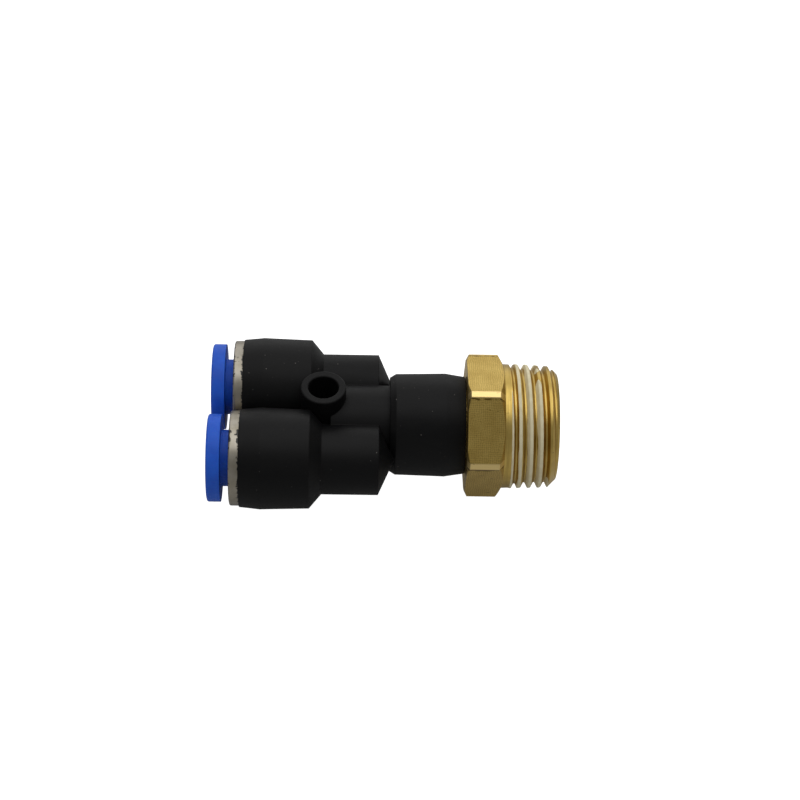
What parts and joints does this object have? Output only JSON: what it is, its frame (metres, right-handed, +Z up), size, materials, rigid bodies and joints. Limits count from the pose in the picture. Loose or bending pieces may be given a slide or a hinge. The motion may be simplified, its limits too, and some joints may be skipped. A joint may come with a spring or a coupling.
{
  "type": "male branch-Y push-in tube fitting",
  "caption": "Push-in Y fitting for 6 mm air tube: black moulded body with blue release buttons and a mounting eyelet, swivelling on a brass hexagon stud with R 3/8 taper thread.",
  "frame": {"origin": "on the stud's axis, in the plane where the hexagon ends and the taper thread begins", "axes": "+X along the stud's axis out of the threaded end, +Y from port a to port b, +Z up along the eyelet"},
  "size_m": [0.0464, 0.0266, 0.0184],
  "materials": {
    "black_pbt": "satin",
    "blue_acetal": "satin",
    "nickel_plate": "satin",
    "brass": "satin",
    "sealant": "matte",
    "spring_steel": "polished",
    "natural_acetal": "satin",
    "nitrile_rubber": "matte"
  },
  "bodies": {
    "stud": {"threaded_stud": "brass", "thread_sealant": "sealant", "stud_o_ring": "nitrile_rubber"},
    "body": {"y_body": "black_pbt", "guide_ring_a": "nickel_plate", "lock_claw_a": "spring_steel", "claw_collar_a": "natural_acetal", "tube_seal_a": "nitrile_rubber", "guide_ring_b": "nickel_plate", "lock_claw_b": "spring_steel", "claw_collar_b": "natural_acetal", "tube_seal_b": "nitrile_rubber"},
    "button_a": {"release_button_a": "blue_acetal"},
    "button_b": {"release_button_b": "blue_acetal"}
  },
  "joints": [
    {"name": "body_swivel", "type": "hinge", "parent": "stud", "child": "body", "pos_m": [-0.01, 0, 0], "axis": [1, 0, 0], "continuous": true},
    {"name": "release_a", "type": "slide", "parent": "body", "child": "button_a", "axis": [1, 0, 0], "range_m": [0, 0.00095], "stiffness_N_per_m": 500, "springref_m": -0.0004},
    {"name": "release_b", "type": "slide", "parent": "body", "child": "button_b", "axis": [1, 0, 0], "range_m": [0, 0.00095], "stiffness_N_per_m": 500, "springref_m": -0.0004}
  ]
}
